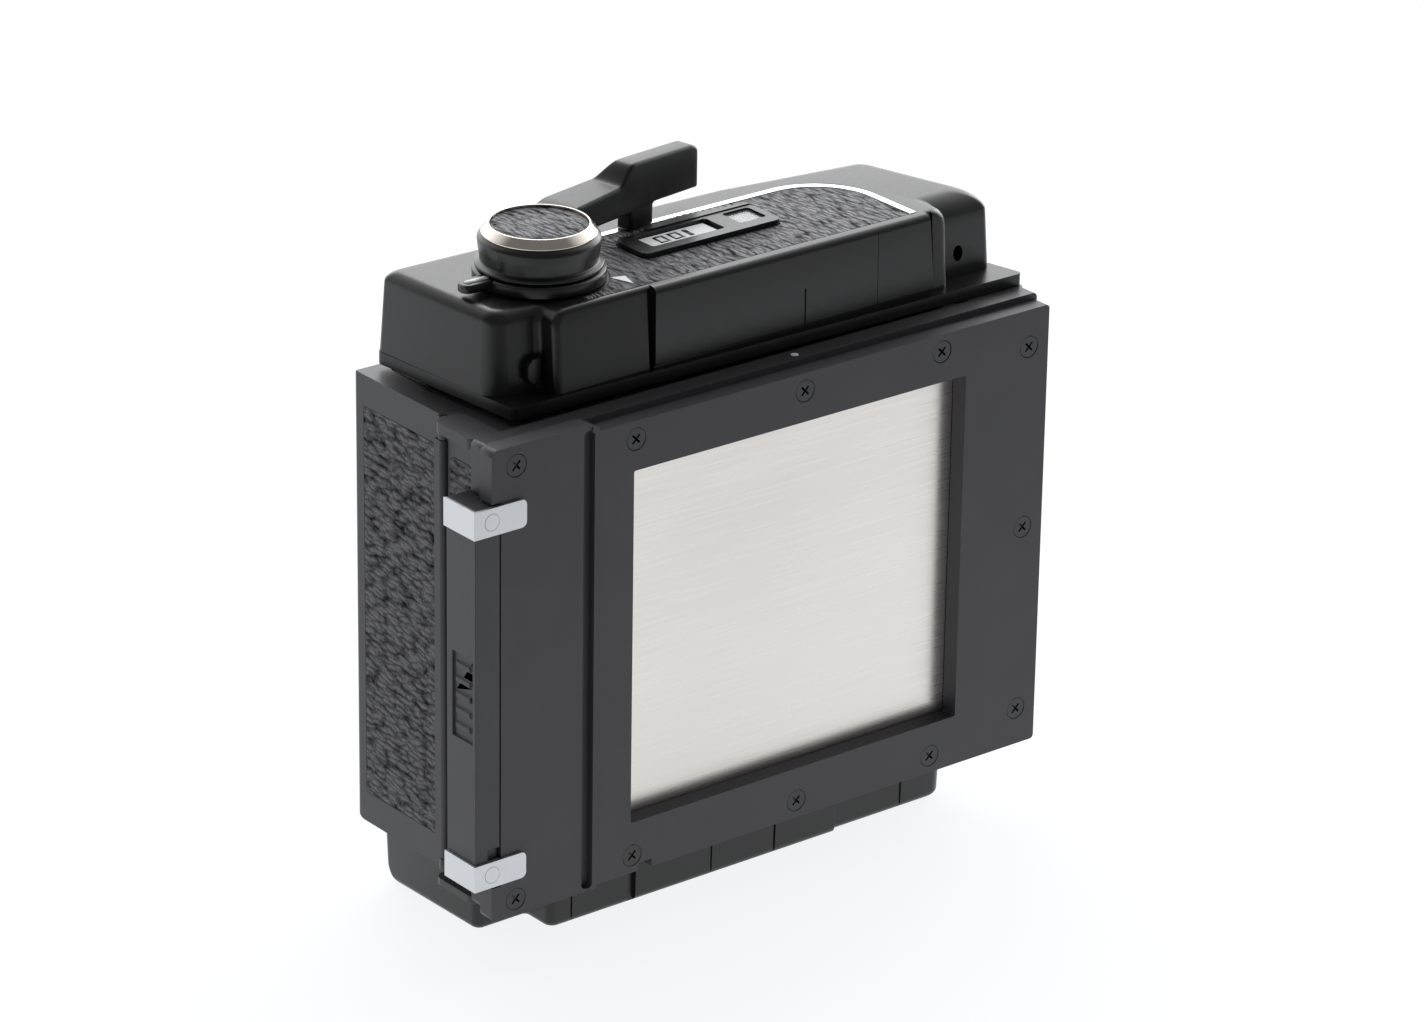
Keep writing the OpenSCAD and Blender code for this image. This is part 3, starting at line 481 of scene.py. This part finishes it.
# ---- hub and lever ----
def turned(name, corners, slot, body, hides, ring=True):
    """A piece turned round the hub's axis, from (radius, z, fillet) corners."""
    o = lathe(name, [(p.x, p.y) for p in fillet(corners, closed=ring)], HUB, ring=ring)
    shade_by_angle(o, 40)
    return finish_piece(o, body, slot, hides)


turned("hub_knob", [
    (3.1, DECK + 2.75, 0), (11.4, DECK + 2.75, 0.25), (11.4, DECK + 3.3, 0.3), (10.4, DECK + 3.7, 0.3),
    (10.75, DECK + 6.0, 2.0), (10.95, DECK + 7.9, 1.3), (10.1, DECK + 8.6, 0.3), (8.75, DECK + 8.6, 0),
    (8.75, DECK + 9.45, 0.1), (3.1, DECK + 9.45, 0)],
    "gloss_black", "lever", ["lever_hub"])
turned("hub_ring", [
    (8.76, DECK + 8.64, 0), (10.25, DECK + 8.64, 0.12), (10.25, DECK + 8.9, 0.12), (9.0, DECK + 10.3, 0.12),
    (8.72, DECK + 10.3, 0.08), (8.72, DECK + 9.5, 0)],
    "warm_nickel", "lever", ["hub_chrome_ring"])
turned("hub_disc", [
    (0, DECK + 9.5, 0), (8.68, DECK + 9.5, 0), (8.68, DECK + 9.82, 0.15), (6.5, DECK + 9.98, 2),
    (0, DECK + 10.05, 0)],
    "leatherette", "lever", ["hub_leather_disc"], ring=False)


# The lever: its angle at rest, its length from the axis, and the round at its tip
LEVER_ANGLE = math.radians(12.6)
TIP = 46.6
END = 0.9


def lever_point(s, t, z):
    """s mm out along the lever, t mm across it and z mm above the deck."""
    a = LEVER_ANGLE
    return (HUB[0] + s * math.cos(a) - t * math.sin(a), HUB[1] + s * math.sin(a) + t * math.cos(a), DECK + z)


def smooth_step(x):
    """Eases from 0 to 1 as x does."""
    x = min(max(x, 0), 1)
    return x * x * (3 - 2 * x)


def lever_section(s, inset=0.0):
    """A rounded section across the arm, s mm from the axis. The arm steps up to a pad that droops."""
    back = 12.4 - 2.6 * min(s, 25) / 25 - 3.1 * smooth_step((s - 24.2) / 4.4)
    rise = 7.95 + 0.6 * smooth_step((s - 11) / 3) + 0.055 * max(s - 12, 0)
    top = rise + (12.72 - rise) * smooth_step((s - 24.6) / 3.8) - 0.055 * max(s - 29.5, 0)
    top -= 2 - math.sqrt(max(4 - max(s - TIP + 2, 0) ** 2, 0))
    front = 2.1
    low = 3.62 + (0.5 - 0.04 * (s - 33.6)) * smooth_step((s - 33.4) / 0.8)
    r = 1.0 - inset * 0.6
    path = fillet([
        (front + inset, low + inset, 0.4), (back - inset, low + inset, 0.6),
        (back - inset, top - inset, max(r, 0.2)), (front + inset, top - inset, max(r * 0.7, 0.2))])
    return [lever_point(s, p.x, p.y) for p in path]


ROOT, STEP = 3.5, 0.5
sections = [lever_section(ROOT + STEP * i) for i in range(int((TIP - END - ROOT) / STEP))]
for i in range(6):
    a = math.radians(15 * i)
    sections.append(lever_section(TIP - END + END * math.sin(a), END - END * math.cos(a)))
arm = loft("arm", sections)
foot_path = fillet([(27.6, 2.12, 0.6), (33.9, 2.12, 0.6), (33.9, 5.6, 0.6), (27.6, 5.6, 0.6)], 4)
foot = loft("foot", [[lever_point(p.x, p.y, z) for p in foot_path] for z in (0.35, 4.2)])
lever = merge("lever_arm", [arm, foot])
shade_by_angle(lever, 40)
finish_piece(lever, "lever", "lever_black", ["advance_lever"])

# The release ring under the hub, with its tab: height over the deck and scale of each of the tab's levels
tab_path = fillet([(-17.1, -1.5, 1.4), (-17.1, 1.5, 1.4), (-10.5, 1.9, 0.2), (-10.5, -1.9, 0.2)], 5)
ring = lathe("ring", [(p.x, p.y) for p in fillet([
    (3.1, DECK + 0.25, 0), (11.8, DECK + 0.25, 0.25), (11.8, DECK + 2.2, 0.35), (11.1, DECK + 2.5, 0.15),
    (3.1, DECK + 2.5, 0)], 5)], HUB, ring=True)
TAB_RISE = ((0.95, 0.99), (1.15, 1.0), (2.3, 1.0), (2.48, 0.985))
tab = loft("tab", [[(HUB[0] + p.x * k, HUB[1] + p.y * k, DECK + z) for p in tab_path] for z, k in TAB_RISE])
rings = merge("release_ring_body", [ring, tab])
shade_by_angle(rings, 40)
finish_piece(rings, "release_ring", "gloss_black", ["release_ring"])


# ---- base block ----
# Front of the block at its top
FOOT_FRONT = 10.4
# Corners of the base block at its top: x, y, upright radius, radius of the bottom edge, and the way in per mm
BASE_CORNERS = [
    (51.4, 46.0, 5.0, 3.6, -1, -1), (-53.8, 46.0, 1.8, 3.6, 1, -1), (-53.4, 17.6, 1.8, 1.2, 1, 1),
]


def base_path(z):
    """Outline of the base block at height z, with draft and a round bottom edge."""
    down = (BLOCK_BOTTOM - z) / (BLOCK_BOTTOM - BASE)
    deep = -z
    corners = []
    for x, y, r, edge, u, v in BASE_CORNERS:
        over_x, over_y = 0.4 * down + round_in(deep, -BASE, 1.3), 0.4 * down + round_in(deep, -BASE, edge)
        corners.append((x + u * over_x, y + v * over_y, max(r - 0.5 * over_x, 0.8)))
    s = 0.35 * down + round_in(deep, -BASE, 1.3)
    y = FOOT_FRONT + s
    nose = [(-42.5 + s, y, 1.6), (24.0, y, 0.1), (24.0, y + 0.9, 0.1), (51.4 - s, y + 0.9, 3.0)]
    return fillet([*nose, *corners, (-42.5 + s, 17.6 + s, 1.0)], 8)


# The widest round of the bottom edge, the walls' thickness in metres, and the grooves in the front wall:
# x, half width and depth
FOOT_ROUND = 3.6
FOOT_WALL = 0.0014
GROOVES = ((-37.3, 0.2, 0.5), (-23.6, 0.9, 1.1), (-5.3, 0.2, 0.5), (9.5, 0.25, 0.6), (40.4, 0.25, 1.4))

BASE_LEVELS = [BLOCK_BOTTOM - 0.06, -46, -49, -52]
BASE_LEVELS += [BASE + FOOT_ROUND - FOOT_ROUND * math.sin(math.radians(6 * i)) for i in range(1, 16)]
foot_skin = loft("base_block", [[(p.x, p.y, z) for p in base_path(z)] for z in BASE_LEVELS], first_cap=False)
modify(foot_skin, "SOLIDIFY", thickness=FOOT_WALL, offset=-1.0)
apply_modifiers(foot_skin)
carve(foot_skin, [
    prism("cut", [(x - w, 8), (x + w, 8), (x + w, FOOT_FRONT + d), (x - w, FOOT_FRONT + d)],
          BASE - 2, BLOCK_BOTTOM - 0.6)
    for x, w, d in GROOVES])
shade_by_angle(foot_skin, 35)
finish_piece(foot_skin, "body", "gloss_black", ["bottom_cover"])


# ---- small parts on the deck ----
def bar(x0, x1, y0, y1, z0, z1):
    """A straight bar with square ends, which is always part of a larger piece or lies flat on one."""
    return loft("bar", [[(x0, y0, z), (x1, y0, z), (x1, y1, z), (x0, y1, z)] for z in (z0, z1)])


line = bar(HUB[0] - 15.9, HUB[0] - 11.3, HUB[1] - 0.65, HUB[1] + 0.65, DECK + 2.3, DECK + 2.62)
line.name = "tab_line"
finish_piece(line, "release_ring", "white_print", ["ring_mark"])

# Width of a printed line
STROKE = 0.45


def box_mark(x0, x1, y0, y1):
    """A hollow rectangle printed on the label."""
    z = (DECK + 0.33, DECK + 0.4)
    inner = (y0 + STROKE, y1 - STROKE)
    return [bar(x0, x1, y0, y0 + STROKE, *z), bar(x0, x1, y1 - STROKE, y1, *z),
            bar(x0, x0 + STROKE, *inner, *z), bar(x1 - STROKE, x1, *inner, *z)]


marks = merge("label_marks", [
    line for x0, x1 in ((-6.4, -4.2), (-3.2, -1.0), (0.2, 1.1)) for line in box_mark(x0, x1, 26, 29)])
finish_piece(marks, "body", "gloss_black")

# The edge of a toothed wheel behind the window frame: 15 round teeth on a flat arc
TOOTH = 1.55
WHEEL_FRONT = 31.05
outline = [(-5.62, WHEEL_FRONT)]
for i in range(15):
    x, y = -5 + TOOTH * i, 32.8 - 0.045 * abs(i - 6) ** 1.6
    for k in range(10):
        a = math.radians(20 * k)
        outline.append((x - 0.62 * math.cos(a), y + 0.8 * math.sin(a)))
outline.append((17.3, WHEEL_FRONT))
wheel = loft("reminder_wheel", [[(x, y, z) for x, y in outline] for z in (DECK, DECK + 1.2)])
shade_by_angle(wheel, 40)
finish_piece(wheel, "body", "gloss_black")


# ---- springs ----
# Half the height of the film insert, the leaf's half width, its thickness and how far below the insert it is
INSERT_Z = 36.2
LEAF_HALF, LEAF_THICK, LEAF_DROP = 2.5, 0.55, 3


def pin_spring(name, x, node):
    """A leaf spring under a spool pin, held at one end by a post."""
    y0, y1 = HUB[1] - LEAF_HALF, HUB[1] + LEAF_HALF
    z0 = -INSERT_Z - LEAF_DROP
    z1 = z0 + LEAF_THICK
    leaf = loft("leaf", [[(x + s, y0, z0), (x + s, y1, z0), (x + s, y1, z1), (x + s, y0, z1)]
                         for s in (-11.4, -10.4, -9.4, -8.4, -7.4, -6.4, -5.4, 3)])
    parts = [leaf, bar(x - 12, x - 11.42, y0, y1, z0, -INSERT_Z - 0.05),
             bar(x - 11.38, x - 9.5, y0, y1, -INSERT_Z - 0.6, -INSERT_Z - 0.05)]
    spring = merge(name, parts)
    shade_by_angle(spring, 30)
    spring.data.materials.append(MATERIALS["steel"])
    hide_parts(node)
    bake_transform(spring)


pin_spring("takeup_spring", HUB[0], "takeup_pin_spring")
pin_spring("supply_spring", -HUB[0], "supply_pin_spring")

# Two springs behind the pressure plate, each a leaf on two feet
leaves = []
for z in (-17, 17):
    leaves.append(bar(-24, 30, 11.37, 11.55, z - 3, z + 3))
    leaves += [bar(x, x + 4, 10.2, 11.36, z - 1, z + 1) for x in (-22, 24)]
plate_springs = merge("plate_springs", leaves)
finish_piece(plate_springs, "body", "steel", ["pressure_springs"])
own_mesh(plate_springs)


# ---- CAD nodes that show: material, and a small edge radius ----
EDGES = {
    "front_plate": 0.2, "body_frame": 0.22, "rear_cover": 0.35, "dark_slide_handle": 0.3,
    "mechanism_plate": 0.35, "window_frame": 0.3, "memo_holder": 0.3, "cover_latch": 0.25,
    "lock_button": 0.2, "handle_clips": 0.16, "deck_trim": 0.06, "format_label": 0.1,
}
for row in frame["record"]["subparts"]:
    o = frame["nodes"][row["node"]]
    o.data.materials.clear()
    o.data.materials.append(MATERIALS[row["material_slot"]])
    width = EDGES.get(row["node"])
    if width:
        modify(o, "WELD", merge_threshold=1e-6)
        modify(o, "DECIMATE", decimate_type="DISSOLVE", angle_limit=math.radians(0.6))
        soften(o, width, 30, 2)


# ---- camera, floor and light ----
# A long lens, from the left and above; the place is in plate coordinates
CAMERA_AT = (-621.41, -758.39, 436.66)
AZIMUTH, ELEVATION, ROLL = (math.radians(a) for a in (-38.651, 23.107, 0.907))
ahead = Vector((
    -math.sin(AZIMUTH) * math.cos(ELEVATION), math.cos(AZIMUTH) * math.cos(ELEVATION), -math.sin(ELEVATION)))
level = Vector((math.cos(AZIMUTH), math.sin(AZIMUTH), 0))
upward = level.cross(ahead)
right = level * math.cos(ROLL) + upward * math.sin(ROLL)
top = upward * math.cos(ROLL) - level * math.sin(ROLL)
camera = bpy.data.objects.new("camera", bpy.data.cameras.new("camera"))
camera.data.sensor_width = 36
camera.data.lens = 152.0
camera.data.clip_start, camera.data.clip_end = 0.05, 50
turn = Matrix((right, top, -ahead)).transposed().to_4x4()
camera.matrix_world = Matrix.Translation(at(*CAMERA_AT)) @ turn
bpy.context.scene.collection.objects.link(camera)
bpy.context.scene.camera = camera

bpy.ops.mesh.primitive_grid_add(x_subdivisions=1, y_subdivisions=1, size=30, location=(0, 0, 0))
floor = bpy.context.object
floor.name = "floor"
floor_material, floor_tree, floor_shader = new_material("floor_white", (0.13, 0.135, 0.14), 0.8, specular=0.1)
floor_shader.inputs["Emission Color"].default_value = (0.97, 0.98, 1.0, 1)
# The floor glows like a light table, less so in front of the object
spot = add(floor_tree, "ShaderNodeNewGeometry").outputs["Position"]
ahead_of = add(floor_tree, "ShaderNodeVectorMath", {0: spot, 1: (-0.2, -0.98, 0)}, operation="DOT_PRODUCT")
floor_glow = spread(floor_tree, ahead_of.outputs["Value"], 0.89, 0.06, (0.19, 0.4))
floor_tree.links.new(floor_glow, floor_shader.inputs["Emission Strength"])
floor.data.materials.append(floor_material)

# The sky is bright behind the object, as the camera sees it, and dim behind the camera
world = bpy.data.worlds.new("studio")
bpy.context.scene.world = world
world.use_nodes = True
sky = world.node_tree
direction = add(sky, "ShaderNodeTexCoord").outputs["Generated"]
behind = Vector((ahead.x, ahead.y, 0)).normalized()
facing = add(sky, "ShaderNodeVectorMath", {0: direction, 1: behind}, operation="DOT_PRODUCT")
glow = spread(sky, facing.outputs["Value"], 0.2, 2.6, (-0.1, 0.9))
sky.links.new(glow, sky.nodes["Background"].inputs["Strength"])
sky.nodes["Background"].inputs["Color"].default_value = (0.985, 0.99, 1.0, 1)


def soft_light(name, place, aim, size, watts):
    light = bpy.data.lights.new(name, "AREA")
    light.shape = "DISK"
    light.size = size
    light.energy = watts
    o = bpy.data.objects.new(name, light)
    o.location = place
    o.rotation_mode = "QUATERNION"
    o.rotation_quaternion = (Vector(aim) - Vector(place)).to_track_quat("-Z", "Y")
    bpy.context.scene.collection.objects.link(o)


soft_light("overhead", (0.5, 0.9, 1.3), (0, 0, 0.05), 1.0, 8)
soft_light("right", (1.1, 0.25, 0.35), (0, 0, 0.08), 0.8, 4)

bpy.context.scene.view_settings.view_transform = "Standard"
bpy.context.scene.view_settings.look = "None"
